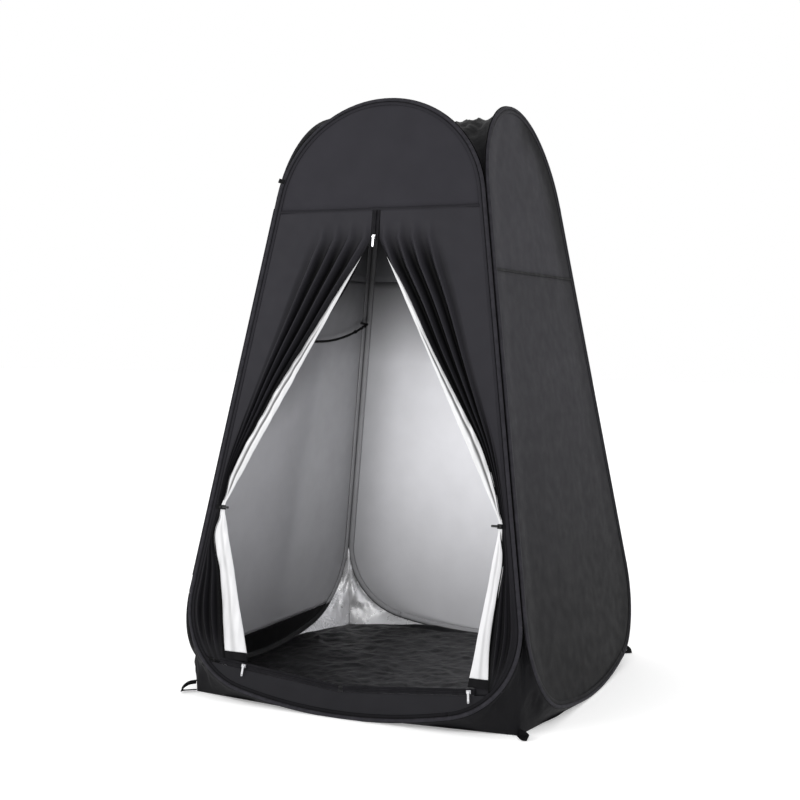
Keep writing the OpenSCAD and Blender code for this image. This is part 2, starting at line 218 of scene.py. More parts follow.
def hoop_low(u, d):
    """Slope height of the hoop's lower edge at u, d inside the wire centre."""
    u = np.abs(np.asarray(u, float))
    corner, bottom = CORNER_R - d, BOTTOM_R - d
    foot = BOTTOM_S - np.sqrt(bottom**2 - u**2)
    arc = ARC_S - np.sqrt(np.clip(corner**2 - (u - ARC_U) ** 2, 0, None))
    return np.where(u > ARC_U + corner * math.cos(ARC_END), arc, foot)


def hoop_path(step):
    """The wire's centre line once round from the right corner: u, s and the outward direction."""
    low, high = ARC_END, TAPER
    side_lo = np.array([ARC_U + CORNER_R * COS_T, ARC_S + CORNER_R * SIN_T])
    side_hi = np.array([TOP_R * COS_T, TOP_S + TOP_R * SIN_T])

    def arc(cu, cs, r, a0, a1):
        a = np.linspace(a0, a1, max(3, int(r * abs(a1 - a0) / step)))[:-1]
        return np.stack([cu + r * np.cos(a), cs + r * np.sin(a), np.cos(a), np.sin(a)], axis=-1)

    t = np.linspace(0, 1, int(np.linalg.norm(side_hi - side_lo) / step))[:-1, None]
    right = np.hstack([side_lo + t * (side_hi - side_lo), np.tile([COS_T, SIN_T], (len(t), 1))])
    left = np.hstack([side_hi + t * (side_lo - side_hi), np.tile([COS_T, SIN_T], (len(t), 1))])
    left[:, [0, 2]] *= -1
    return np.vstack([
        arc(ARC_U, ARC_S, CORNER_R, low, high),
        right,
        arc(0, TOP_S, TOP_R, high, math.pi - high),
        left,
        arc(-ARC_U, ARC_S, CORNER_R, math.pi - high, math.pi - low),
        arc(0, BOTTOM_S, BOTTOM_R, -math.pi - low, low),
    ])


# ---------------------------------------------------------------- materials


class Nodes:
    """A short way to write a material's node tree."""

    def __init__(self, name):
        self.material = bpy.data.materials.new(name)
        self.material.use_nodes = True
        self.tree = self.material.node_tree
        self.shader = self.tree.nodes["Principled BSDF"]

    def add(self, kind, links=None, **values):
        node = self.tree.nodes.new(kind)
        for key, value in values.items():
            if key in node.inputs:
                node.inputs[key].default_value = value
            else:
                setattr(node, key, value)
        for socket, source in (links or {}).items():
            self.tree.links.new(source, node.inputs[socket])
        return node

    def out(self, socket, source):
        self.tree.links.new(source, self.shader.inputs[socket])

    def position(self):
        return self.add("ShaderNodeNewGeometry").outputs["Position"]

    def noise(self, scale, detail=3.0, rough=0.5):
        at = {"Vector": self.position()}
        return self.add("ShaderNodeTexNoise", at, Scale=scale, Detail=detail, Roughness=rough).outputs["Fac"]

    def math(self, operation, a, b):
        node = self.add("ShaderNodeMath", operation=operation)
        for i, value in enumerate((a, b)):
            if isinstance(value, (int, float)):
                node.inputs[i].default_value = value
            else:
                self.tree.links.new(value, node.inputs[i])
        return node.outputs[0]

    def ramp(self, factor, *stops):
        node = self.add("ShaderNodeValToRGB", {"Fac": factor})
        while len(node.color_ramp.elements) < len(stops):
            node.color_ramp.elements.new(0.5)
        for element, (at, colour) in zip(node.color_ramp.elements, stops):
            element.position = at
            element.color = (*colour, 1)
        return node.outputs["Color"]

    def mix(self, factor, a, b):
        node = self.add("ShaderNodeMix", data_type="RGBA")
        for socket, value in ((node.inputs[0], factor), (node.inputs[6], a), (node.inputs[7], b)):
            if isinstance(value, tuple):
                socket.default_value = (*value, 1)
            elif isinstance(value, (int, float)):
                socket.default_value = value
            else:
                self.tree.links.new(value, socket)
        return node.outputs[2]

    def bump(self, height, strength, distance):
        at = {"Height": height}
        return self.add("ShaderNodeBump", at, Strength=strength, Distance=distance).outputs["Normal"]

    def weave(self, pitch):
        """Over-and-under threads of a plain weave, 0 to 1."""
        axes = self.add("ShaderNodeSeparateXYZ", {"Vector": self.position()}).outputs
        across = self.math("ADD", axes["X"], axes["Y"])
        warp = self.math("SINE", self.math("MULTIPLY", across, 2 * math.pi / pitch), 0)
        weft = self.math("SINE", self.math("MULTIPLY", axes["Z"], 2 * math.pi / pitch), 0)
        return self.math("MULTIPLY_ADD", self.math("MULTIPLY", warp, weft), 0.5)


def tint(colour, factor):
    return tuple(c * factor for c in colour)


def cloth(name, colour, rough=0.62, sheen=0.03, metallic=0.0, mottling=0.05, weave=0.0009, crumple=0.0,
          gloss=0.05, dim=(), shading=1.0):
    """Woven polyester: thread bump, faint mottling, darker where a piece carries a shade.

    dim is a list of (height where full, height where it darkens most, how much), and shading is how much of a
    piece's shade this side shows.
    """
    n = Nodes(name)
    base = n.ramp(n.noise(9, 4), (0.3, tint(colour, 1 - mottling)), (0.7, tint(colour, 1 + mottling)))
    for full, dark, amount in dim:
        z = n.add("ShaderNodeSeparateXYZ", {"Vector": n.position()}).outputs["Z"]
        span = {"From Min": full, "From Max": dark, "To Min": 0.0, "To Max": amount}
        factor = n.add("ShaderNodeMapRange", {"Value": z}, **span).outputs["Result"]
        base = n.mix(factor, base, (0.0, 0.0, 0.0))
    shade = n.add("ShaderNodeAttribute", attribute_name="shade").outputs["Fac"]
    n.out("Base Color", n.mix(n.math("MULTIPLY", shade, shading), base, tint(colour, 0.04)))
    n.out("Roughness", n.ramp(n.noise(23, 3), (0.3, (rough - 0.06,) * 3), (0.7, (rough + 0.06,) * 3)))
    height = n.math("ADD", n.math("MULTIPLY", n.weave(weave), 0.5), n.noise(420, 2))
    normal = n.bump(height, 0.25, 0.0002)
    if crumple:
        at = {"Height": n.noise(38, 5, 0.62), "Normal": normal}
        normal = n.add("ShaderNodeBump", at, Strength=crumple, Distance=0.004).outputs["Normal"]
    n.out("Normal", normal)
    n.shader.inputs["Metallic"].default_value = metallic
    n.shader.inputs["Sheen Weight"].default_value = sheen
    n.shader.inputs["Sheen Roughness"].default_value = 0.4
    n.shader.inputs["Specular IOR Level"].default_value = gloss
    return n.material


def webbing(name, colour):
    """Tight ribbed tape."""
    n = Nodes(name)
    base = n.ramp(n.noise(60, 3), (0.3, tint(colour, 0.8)), (0.7, tint(colour, 1.25)))
    n.out("Base Color", base)
    n.out("Normal", n.bump(n.weave(0.0022), 0.6, 0.0005))
    n.shader.inputs["Roughness"].default_value = 0.7
    n.shader.inputs["Specular IOR Level"].default_value = 0.08
    return n.material


def metal(name, colour, rough, scratches=0.15):
    """Plated or drawn metal with fine handling marks."""
    n = Nodes(name)
    n.out("Base Color", n.ramp(n.noise(70, 4), (0.35, tint(colour, 0.82)), (0.65, colour)))
    marks = n.noise(900, 4, 0.7)
    n.out("Roughness", n.ramp(marks, (0.35, (rough,) * 3), (0.7, (rough + scratches,) * 3)))
    n.out("Normal", n.bump(marks, 0.12, 0.0002))
    n.shader.inputs["Metallic"].default_value = 1.0
    return n.material


def plastic(name, colour, rough=0.35):
    """Moulded plastic with a fine spark-eroded grain."""
    n = Nodes(name)
    n.out("Base Color", n.ramp(n.noise(40, 3), (0.3, tint(colour, 0.85)), (0.7, tint(colour, 1.15))))
    n.out("Roughness", n.ramp(n.noise(300, 3), (0.3, (rough,) * 3), (0.7, (rough + 0.15,) * 3)))
    n.out("Normal", n.bump(n.noise(1500, 2), 0.2, 0.0002))
    return n.material


CHARCOAL = (0.0215, 0.0208, 0.0248)
DARK = (0.0165, 0.0162, 0.0185)
INK = (0.0058, 0.0057, 0.0064)
SILVER = (0.56, 0.56, 0.58)
# the silver coating again, painted lighter: a painted highlight for the door lining's turned-out strips
SILVER_LIT = (0.66, 0.66, 0.67)
FOOT_DIM = (1.05, 0.0, 0.7)  # outer cloth gets less light towards the ground
ROOF_DIM = (1.05, SEAM_Z, 0.78)  # and the lining less towards the roof

M = {
    "upper": cloth("cloth_upper", tint(CHARCOAL, 1.22)),
    "lower": cloth("cloth_lower", CHARCOAL, dim=[FOOT_DIM]),
    "upper_far": cloth("cloth_upper_far", tint(CHARCOAL, 1.22), shading=0.15),
    "lower_far": cloth("cloth_lower_far", CHARCOAL, dim=[FOOT_DIM], shading=0.15),
    "door": cloth("cloth_door", tint(CHARCOAL, 1.1), rough=0.5, gloss=0.07, dim=[FOOT_DIM]),
    "sill": cloth("cloth_sill", DARK),
    "inner_upper": cloth("lining_upper", (0.085, 0.085, 0.09)),
    "inner_lower": cloth(
        "lining_silver", SILVER, rough=0.48, metallic=0.3, mottling=0.03, gloss=0.3, dim=[ROOF_DIM]
    ),
    # door lining: the flaps' own silver coating in a lighter colour, a painted highlight for the strips that
    # face the key light
    "door_lining": cloth("lining_door", SILVER_LIT, rough=0.42, metallic=0.2, mottling=0.03, gloss=0.3),
    "skirt": cloth("cloth_dark", INK, rough=0.7),
    "floor": cloth("floor_cloth", tint(INK, 0.6), rough=0.42, weave=0.0014, crumple=0.7, gloss=0.11),
    "roof": cloth("roof_cloth", tint(INK, 1.3), rough=0.55, crumple=0.8),
    "gusset": cloth("gusset_cloth", tint(INK, 1.5), rough=0.6, crumple=0.35),
    "foil": cloth("gusset_foil", (0.8, 0.8, 0.81), rough=0.28, metallic=0.65, crumple=0.5, gloss=0.5),
    # facing: the walls' silver lining painted darker, a painted shade against the extra light its curve over
    # the binding catches
    "facing": cloth("corner_facing", tint(SILVER, 0.36), rough=0.5, gloss=0.2, dim=[ROOF_DIM]),
    "seam": cloth("seam_tape", INK, rough=0.55),
    "hem": cloth("hem_tape", tint(CHARCOAL, 0.8), rough=0.6),
    "thread": cloth("thread", (0.012, 0.012, 0.014), rough=0.5, mottling=0.02),
    "binding": webbing("binding_tape", tint(CHARCOAL, 1.15)),
    "webbing": webbing("webbing_black", (0.004, 0.004, 0.0045)),
    "zip": webbing("zip_tape_black", tint(CHARCOAL, 0.45)),
    "rope": webbing("line_cord", (0.004, 0.004, 0.004)),
    "wire": metal("spring_steel", (0.5, 0.5, 0.52), 0.3),
    "ferrule": metal("crimped_steel", (0.65, 0.65, 0.66), 0.35),
    "slider": metal("slider_metal", (0.62, 0.62, 0.64), 0.25),
    "pull": metal("pull_metal", (0.7, 0.7, 0.72), 0.22),
    "toggle": plastic("toggle_plastic", (0.005, 0.005, 0.005)),
    "ring": plastic("ring_plastic", (0.006, 0.006, 0.0065), 0.4),
}


# ---------------------------------------------------------------- making pieces


def sheet(name, points, outside, inside=None, thick=0.0006, flip=False, shade=None):
    """A cloth piece from a grid of points, with its own thickness and a face material on each side."""
    rows, cols = points.shape[:2]
    faces = []
    for r in range(rows - 1):
        for c in range(cols - 1):
            a = r * cols + c
            quad = (a, a + 1, a + cols + 1, a + cols)
            faces.append(quad[::-1] if flip else quad)
    mesh = bpy.data.meshes.new(name)
    mesh.from_pydata(points.reshape(-1, 3).tolist(), [], faces)
    mesh.polygons.foreach_set("use_smooth", [True] * len(faces))
    if shade is not None:
        layer = mesh.attributes.new("shade", "FLOAT", "POINT")
        layer.data.foreach_set("value", np.clip(shade, 0, 1).astype(np.float32).ravel())
    mesh.materials.append(M[outside])
    mesh.materials.append(M[inside or outside])
    piece = bpy.data.objects.new(name, mesh)
    bpy.context.scene.collection.objects.link(piece)
    wall = piece.modifiers.new("thickness", "SOLIDIFY")
    wall.thickness = thick
    wall.offset = -1
    wall.material_offset = 1
    return piece


def fit(piece, body, slot, *nodes):
    """Rides a piece on a body and lets it stand for its CAD nodes, which it hides."""
    if body:
        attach(piece, body)
    if nodes:
        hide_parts(*nodes)
    return piece


def stitches(name, runs, body, length=0.0036, width=0.001, height=0.0005):
    """Thread along paths, given as (points, outward vector): every stitch is a small lens of thread."""
    verts, faces = [], []
    for points, out in runs:
        out = np.broadcast_to(out, points.shape)
        gaps = np.linalg.norm(np.diff(points, axis=0), axis=1)
        run = np.concatenate([[0], np.cumsum(gaps)])
        marks = np.arange(THREAD_PITCH / 2, run[-1], THREAD_PITCH)
        for mark in marks:
            i = min(np.searchsorted(run, mark) - 1, len(points) - 2)
            t = (mark - run[i]) / max(gaps[i], 1e-9)
            at = points[i] + t * (points[i + 1] - points[i])
            ahead = (points[i + 1] - points[i]) / max(gaps[i], 1e-9)
            side = np.cross(out[i], ahead)
            base = len(verts)
            for a, b, c in ((-1, 0, 0), (0, -1, 0), (1, 0, 0), (0, 1, 0), (0, 0, 1), (0, 0, -1)):
                verts.append(at + ahead * a * length / 2 + side * b * width / 2 + out[i] * c * height)
            for a, b in ((0, 1), (1, 2), (2, 3), (3, 0)):
                faces.append((base + a, base + b, base + 4))
                faces.append((base + b, base + a, base + 5))
    mesh = bpy.data.meshes.new(name)
    mesh.from_pydata([tuple(v) for v in verts], [], faces)
    mesh.materials.append(M["thread"])
    piece = bpy.data.objects.new(name, mesh)
    bpy.context.scene.collection.objects.link(piece)
    return fit(piece, body, "seam_tape")


# ---------------------------------------------------------------- walls


def wall_relief(panel, u, s):
    """How far a wall's cloth stands off its flat panel: slack, edge ripples and gathers at the seam."""
    at = np.stack([u, s, np.full_like(u, panel)], axis=-1)
    edge = half_width(s, TAIL) - np.abs(u)
    top = TOP_S + TOP_R - TAIL - s
    inside = ramp(np.minimum(edge, top), 0.0, 0.09)
    slack = SLACK * bumps(at, 0.42, 1 + panel) + RIPPLE * bumps(at, 0.14, 11 + panel) - SLACK
    ripple = RIPPLE * np.exp(-np.clip(edge, 0, None) / 0.035) * bumps(at * np.array([0, 1, 1]), 0.019, 5)
    seam = np.exp(-(((s - SEAM_Z * SLOPE) / 0.03) ** 2))
    pucker = PUCKER * seam * bumps(at * np.array([1, 0.3, 1]), 0.028, 21 + panel)
    return inside * (slack + pucker) + ripple * ramp(edge, 0.0, 0.008)


def wall_grid(z_lo, z_hi, step=0.013, columns=61):
    """u and s over a slice of panel between two heights, with rows bunched where the outline turns in."""
    s_lo = max(z_lo * SLOPE, S_LOW + TAIL + 0.00035)
    s_hi = min(z_hi * SLOPE, TOP_S + TOP_R - TAIL - 0.00025)
    rows = max(12, int((s_hi - s_lo) / step))
    t = np.linspace(0, 1, rows)
    if z_lo <= 0:
        t = t**2.2
    if z_hi > HEIGHT:
        t = 1 - (1 - t) ** 2
    s = s_lo + t * (s_hi - s_lo)
    u = half_width(s, TAIL)[:, None] * bunched(columns, 0.93)[None, :]
    return u, np.repeat(s[:, None], columns, axis=1)


def falloff(panel, u, s):
    """Shade on a wall: a thin line where it tucks under the binding, a hollow on the side away from the door,
    and on the left wall the shadow of the gathered flap."""
    edge = np.minimum(half_width(s, TAIL) - np.abs(u), TOP_S + TOP_R - TAIL - s)
    line = 0.8 * np.exp(-np.clip(edge, 0, None) / 0.0035)
    if panel == 0:
        return line
    far = ramp(u * (-1 if panel == 3 else 1), 0.0, 0.12)
    soft = (0.28 + 0.62 * ramp(s, 1.25, 1.62)) * (1 - ramp(edge, 0.0, 0.17)) * far
    if panel == 1:
        soft = np.maximum(soft, 0.5 * (1 - ramp(s, 0.1, 0.85)))
    if panel == 3:
        flap = 0.68 * ramp(s, 0.72, 1.1) * (1 - ramp(s, 1.2, 1.36)) * (0.62 + 0.38 * ramp(u, -0.15, 0.25))
        soft = np.maximum(np.maximum(soft, flap), 0.1 + 0.3 * ramp(-u, -0.25, 0.3))
    return np.maximum(line, soft)


def wall(name, panel, z_lo, z_hi, outside, inside, slot, node):
    u, s = wall_grid(z_lo, z_hi)
    at = place(panel, u, s, wall_relief(panel, u, s))
    piece = sheet(name, at, outside, inside, shade=falloff(panel, u, s))
    return fit(piece, BODY[panel], slot, node)


def seam_band(name, panel, z, height, node, lift=0.0013, hem=False, cloth="seam"):
    """A lapped seam, or a hem with a free foot, across a panel: a raised band with two rows of thread."""
    low = -HEM_LAP if hem else -height / 2
    s_mid = z * SLOPE
    v = np.linspace(0, 1, 7)
    s = s_mid + low + v * height
    span = np.linspace(-1, 1, 121)
    u = half_width(s, TAIL + 0.0006)[:, None] * span[None, :]
    s = np.repeat(s[:, None], 121, axis=1)
    profile = (np.sin(np.clip(v, 0.0, 1) * math.pi) ** 0.4)[:, None]
    n = wall_relief(panel, u, s) + lift * (0.35 + 0.65 * profile)
    if hem:  # stands out over the head of the centre zip
        n = n + 0.0014 * np.exp(-((u / 0.024) ** 2))
    band = fit(sheet(name, place(panel, u, s, n), cloth, thick=0.0004), BODY[panel], "seam_tape")
    if node:
        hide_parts(node)
    runs = [(place(panel, u[r], s[r], n[r] + 0.0002), out_of(panel)) for r in (1, 5)]
    stitches(name + "_thread", runs, BODY[panel])
    return band


def walls():
    for panel in (1, 2, 3):
        side = BODY[panel]
        foot = SKIRT_Z if panel == 3 else BELOW
        far = "" if panel == 1 else "_far"
        for part, low, high in (("lower", foot, SEAM_Z), ("upper", SEAM_Z, ABOVE)):
            node = f"wall_{side}_{part}"
            wall(f"{node}_cloth", panel, low, high, part + far, f"inner_{part}", f"cloth_{part}", node)
        seam_band(f"seam_{side}_band", panel, SEAM_Z, 0.008, f"seam_{side}")
    wall("wall_left_skirt_cloth", 3, BELOW, SKIRT_Z, "skirt", "skirt", "cloth_dark", "wall_left_skirt")


def beside_wire(panel, path, d, n):
    """Points that follow a hoop path at d inside the wire centre and n outwards."""
    return place(panel, path[:, 0] - path[:, 2] * d, path[:, 1] - path[:, 3] * d, n)


def hoop_band(name, panel, profile, outside, inside=None, flip=False, low_shade=0.0):
    """A strip swept once round a panel's hoop; the profile is a list of (d, n, shade)."""
    path = hoop_path(0.014)
    path = np.vstack([path, path[:1]])
    rows = np.stack([beside_wire(panel, path, d, n) for d, n, _ in profile])
    shade = np.array([dark for _, _, dark in profile])[:, None] + low_shade * (rows[..., 2] < SKIRT_Z)
    band = sheet(name, rows, outside, inside, thick=0.0004, flip=flip, shade=shade)
    return fit(band, BODY[panel], "cloth_lower")


# hoop trim sections: (d inside the wire centre, n outwards, shade)
OVER_TUBE = (
    (0.0152, -0.0016, 0), (0.0105, -0.0034, 0), (0.0055, -0.0069, 0),
    (0.0, -0.0077, 0.25), (-0.0048, -0.0064, 1), (-0.0072, -0.0044, 1),
)
OVER_TAIL = (
    (0.0066, 0.0031, 1), (0.0072, 0.0027, 0.9), (0.0100, 0.0023, 0), (0.0145, 0.0019, 0), (0.0172, 0.0012, 0),
)


def hoop_trim(panel):
    """Facing over the binding inside, the turned cloth edge on its tail outside, and thread through both."""
    low_shade = 1.0 if panel == 3 else 0.0
    hoop_band(f"facing_{BODY[panel]}", panel, OVER_TUBE, "seam", "facing", flip=True, low_shade=low_shade)
    hoop_band(f"edge_{BODY[panel]}", panel, OVER_TAIL, "lower")
    line = beside_wire(panel, hoop_path(0.006), 0.0115, 0.0023)
    stitches(f"thread_{BODY[panel]}", [(line, out_of(panel))], BODY[panel])


# ---------------------------------------------------------------- door


def sill_line(u):
    """Slope height of the sill zips at u."""
    return SILL_Z * SLOPE + np.abs(u) * SILL_RISE


def door_header():
    """The cloth above the door, with a hem that laps over the flaps."""
    u, s = wall_grid(DOOR_TOP_Z, ABOVE)
    at = place(0, u, s, wall_relief(0, u, s) * 0.8)
    header = sheet("header_cloth", at, "upper", "inner_upper", shade=falloff(0, u, s))
    fit(header, "front", "cloth_upper", "header_front")
    seam_band("header_seam", 0, DOOR_TOP_Z, 0.01, None, lift=0.0019, hem=True, cloth="hem")


def door_sill():
    """The cloth below the door, and behind it a strip that closes the door's foot beyond each slider."""
    edge = root(lambda u: float(hoop_low(u, TAIL) - sill_line(u) + ZIP_HALF), 0.4, 0.5)
    across = np.linspace(-edge, edge, 121)
    v = np.linspace(0, 1, 15)[:, None]
    low, high = hoop_low(across, TAIL), sill_line(across) - ZIP_HALF
    s = low + v * (high - low)
    u = np.repeat(across[None, :], 15, axis=0)
    at = np.stack([u, s, s * 0], axis=-1)
    mid = np.clip(4 * v * (1 - v), 0, 1)
    n = mid * (0.0035 * bumps(at * np.array([1, 0.4, 1]), 0.11, 41) + 0.0008 * bumps(at, 0.03, 42))
    piece = sheet("sill_cloth", place(0, u, s, n), "sill", "skirt")
    fit(piece, "front", "cloth_dark", "sill_front")
    for side in (-1, 1):
        out = np.linspace(FOOT[side] + 0.02, FOOT[side] + 0.08, 13)[None, :]
        s = sill_line(out) + np.linspace(-0.013, 0.02, 6)[:, None]
        at = place(0, side * out, s, -0.0085)
        fit(sheet(f"sill_end_{SIDE_NAME[side]}", at, "sill", "skirt", flip=side < 0), "front", "cloth_dark")


def door_edge(side, z):
    """u of a tied-back flap's free edge at height z."""
    waist, foot = WAIST[side], FOOT[side]
    foot_z = (sill_line(foot) + HEM_GAP) / SLOPE
    knee = 0.016 / SLOPE
    zs = [foot_z, TIE_Z - knee, TIE_Z + knee, SLIDER_Z - 0.004, DOOR_TOP_Z]
    return np.interp(z, zs, [foot, waist, waist, 0.014, 0.014])


# width of the silver lining turned out along the free edge, as (height, width)
LINING = {
    -1: ((0.12, 0.088), (0.25, 0.07), (0.4, 0.054), (0.52, 0.05), (0.585, 0.015), (0.615, 0.012),
         (0.7, 0.036), (0.85, 0.043), (1.0, 0.04), (1.15, 0.024), (1.28, 0.013), (1.4, 0.0)),
    1: ((0.13, 0.07), (0.25, 0.046), (0.4, 0.036), (0.52, 0.03), (0.585, 0.01), (0.615, 0.01),
        (0.7, 0.03), (0.82, 0.046), (0.95, 0.036), (1.1, 0.022), (1.28, 0.014), (1.4, 0.0)),
}
HEM = 0.022  # height of the dark hem at the lining's foot
HEM_GAP = 0.014  # sill zip to the foot of the lining
LINING_TOP = 1.4
PLEAT_DEPTH = 0.0155
PLEAT_REACH = ((0.6, 1.05), (0.72, 0.9), (0.95, 0.68), (1.3, 0.66), (1.55, 0.62))  # (height, share pleated)
CREASE_AT, CREASE_HALF = 0.47, 0.1  # place and half width of the lining's crease, as shares of its width


def near_tie(z, spread):
    """1 at the tie's height, falling off over the given spread."""
    return np.exp(-(((z - TIE_Z) / spread) ** 2))


def flap_sheet(side):
    """The dark cloth of a tied-back flap, with pleats that run from the header into the tie."""
    rows, cols = 190, 130
    v = np.linspace(0, 1, rows)[:, None]
    t = np.linspace(0, 1, cols)[None, :] ** 1.15
    top = DOOR_TOP_Z * SLOPE - 0.001
    foot_u = FOOT[side]
    foot_in = sill_line(foot_u) + 0.003
    outer_u = root(lambda u: float(hoop_low(u, DOOR_EDGE) - sill_line(u) - 0.001), 0.42, 0.5)
    foot_out = float(sill_line(outer_u) + 0.001)
    s = top + v * (foot_in + t * (foot_out - foot_in) - top)
    z = s / SLOPE
    lining = curve(z, LINING[side])
    inner = door_edge(side, z) + np.clip(lining - 0.004, 0, None)
    outer = half_width(s, DOOR_EDGE)
    width = outer - inner
    u = inner + width * t

    above = z > TIE_Z
    share = np.where(above, 0.150, 0.27)  # width of a pleat as a share of the flap's
    drift = bumps(np.stack([t + 0 * z, z * 0.55, 0 * z + side], axis=-1), 0.16, 61)
    phase = (t - 0.055 + 0.018 * drift) / share
    wave = np.cos(2 * math.pi * phase + 0.55 * np.sin(2 * math.pi * phase))
    zone = 1 - ramp(t / np.where(above, curve(z, PLEAT_REACH), 1.1), 0.62, 1.0)
    start = 1 - ramp(z, 1.36, 1.52)
    depth = np.minimum(0.5 * width * share, PLEAT_DEPTH) * zone * start
    depth = depth * (1 - 0.72 * near_tie(z, 0.018))
    depth = depth * np.where(above, 1.0, 0.75 * (0.45 + 0.55 * ramp(z, 0.13, 0.3)))
    at = np.stack([u, s, 0 * s + side], axis=-1)
    soft = 0.0025 * bumps(at, 0.18, 63) * ramp(outer - u, 0, 0.05) * ramp(top - s, 0, 0.05)
    roll = -0.9 * (depth + 0.004 * start) * (1 - ramp(t * width, 0.0, 0.012)) * ramp(lining, 0.0, 0.012)
    n = depth * wave + soft + roll + 0.0035 * zone * start * (1 - near_tie(z, 0.03))
    n = n * ramp(outer - u, -0.002, 0.02) * ramp(1 - v, 0.0, 0.06)
    # painted shade: darker in the pleats' valleys and along the rolled free edge beside the lining
    valley_shade = np.clip(0.18 - wave * 0.9, 0, 1) * zone ** 0.7 * start * np.where(above, 1.0, 0.55)
    edge_shade = (1 - ramp(t * width, 0.002, 0.02)) * ramp(lining, 0.0, 0.01)
    name = SIDE_NAME[side]
    shade = np.maximum(valley_shade, edge_shade)
    piece = sheet(
        f"flap_{name}_cloth", place(0, side * u, s, n), "door", "inner_lower", flip=side > 0, shade=shade
    )
    return fit(piece, None, "cloth_lower", f"flap_{name}")


def flap_lining(side):
    """The silver inner face that shows along the free edge, with one crease and a dark hem at its foot."""
    name = SIDE_NAME[side]
    foot_s = sill_line(FOOT[side]) + HEM_GAP
    t = np.linspace(0, 1, 26)[None, :]

    def points(s):
        """u, n and the crease's shade for rows at s."""
        z = s / SLOPE
        width = np.clip(curve(z, LINING[side]), 0, None)
        u = door_edge(side, z) + (width + 0.003 * ramp(width, 0, 0.01)) * t
        at = np.stack([u, s + 0 * t, 0 * u + side], axis=-1)
        crease = np.exp(-(((t - CREASE_AT - 0.05 * np.sin(z * 9)) / CREASE_HALF) ** 2))
        crease = crease * (1 - ramp(z, 1.1, 1.25)) * np.where(z > TIE_Z, 1.0, 0.3)
        bulge = np.sin(t * math.pi) ** 0.7 * np.minimum(width * 0.16, 0.006)
        slack = np.minimum(width * 0.12, 0.0045)
        n = -0.0045 + bulge + slack * (bumps(at * np.array([1, 0.22, 1]), 0.022, 71) - crease)
        n = n * (1 - 0.75 * near_tie(z, 0.02))
        # the crease is a real dip in n and also painted shade, handed back as the third value
        return u, n, crease * 0.9 * ramp(width, 0.01, 0.025)

    s = np.linspace(foot_s + HEM, LINING_TOP * SLOPE, 170)[:, None]
    u, n, dark = points(s)
    at = place(0, side * u, s, n)
    lining = sheet(f"lining_{name}", at, "door_lining", thick=0.0005, flip=side < 0, shade=dark)
    s = np.linspace(foot_s, foot_s + HEM + 0.004, 8)[:, None]
    u, n, _ = points(s)
    hem = sheet(f"hem_{name}", place(0, side * u, s, n + 0.0012), "seam", flip=side < 0)
    return fit(lining, None, "cloth_lower"), fit(hem, None, "cloth_dark")


def flap(side):
    """A tied-back flap: its cloth, its lining and the lining's hem, with their transforms baked into the
    mesh.
    """
    pieces = (flap_sheet(side), *flap_lining(side))
    start, end = place(0, 0, 1.44 * SLOPE), place(0, 0, 1.08 * SLOPE)
    for piece in pieces:
        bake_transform(piece)


# ---------------------------------------------------------------- roof and floor


def roof():
    """One sheet stretched between the four top arcs, settled like a soap film and then crinkled."""
    size, rounds = 73, 2600
    line = np.linspace(-1, 1, size)
    a, b = np.meshgrid(line, line, indexing="ij")
    r = TOP_R - 0.003
    u = bunched(size, 0.86) * r * COS_T
    s = TOP_S + np.sqrt(r**2 - u**2)
    edges = [place(panel, u, s, BEHIND_TUBE) for panel in range(4)]
    p = np.stack([a * 0.34, b * 0.34, 0 * a + HEIGHT - 0.07], axis=-1)
    for _ in range(rounds):
        p[:, 0], p[-1, :] = edges[0], edges[1]
        p[:, -1], p[0, :] = edges[2][::-1], edges[3][::-1]
        p[1:-1, 1:-1] = (p[2:, 1:-1] + p[:-2, 1:-1] + p[1:-1, 2:] + p[1:-1, :-2]) / 4
    middle = np.clip((1 - a**2) * (1 - b**2), 0, 1)
    crinkle = ROOF_CREASE * creases(p * np.array([1.0, 0.45, 0.0]), 0.045, 81) - 0.009
    p[..., 2] += ROOF_CROWN * middle + crinkle * ramp(middle, 0, 0.3)
    piece = sheet("roof_cloth_sheet", p, "roof", "inner_upper", flip=True)
    fit(piece, "front", "roof_cloth", "roof")
    tuple(place(0, 0, S_HIGH, -0.0095))
    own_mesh(piece)


def floor():
    """Crinkled ground sheet: straight under the hoops, drawn in to the four ground corners."""
    size = 150
    line = np.linspace(-1, 1, size)
    a, b = np.meshgrid(line, line, indexing="ij")
    out = HALF_BASE - 0.014 - GROUND_CORNER

    def bulge(t):
        return 1 - ramp(np.abs(t), 0.55, 1.0)

    x = a * (GROUND_CORNER + out * bulge(b) * np.abs(a) ** 2)
    y = b * (GROUND_CORNER + out * bulge(a) * np.abs(b) ** 2)
    at = np.stack([x, y, 0 * x], axis=-1)
    away = np.minimum(1 - np.abs(a), 1 - np.abs(b))
    lift = 0.009 * creases(at, 0.17, 91) + 0.006 * creases(at, 0.06, 95)
    along_edge = np.where(np.abs(a) > np.abs(b), np.abs(y), np.abs(x))
    tray = hoop_low(np.minimum(along_edge, TRAY_END), 0.0) / SLOPE
    tray = tray * np.clip((GROUND_CORNER - along_edge) / (GROUND_CORNER - TRAY_END), 0, 1)
    z = 0.0016 + lift * ramp(away, 0.0, 0.08) + tray * (1 - ramp(away, 0.0, 0.05))
    piece = sheet("floor_sheet", np.stack([x, y, z], axis=-1), "floor", thick=0.0009)
    fit(piece, "front", "floor_cloth", "floor")
    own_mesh(piece)


# ---------------------------------------------------------------- corner gussets and stake loops


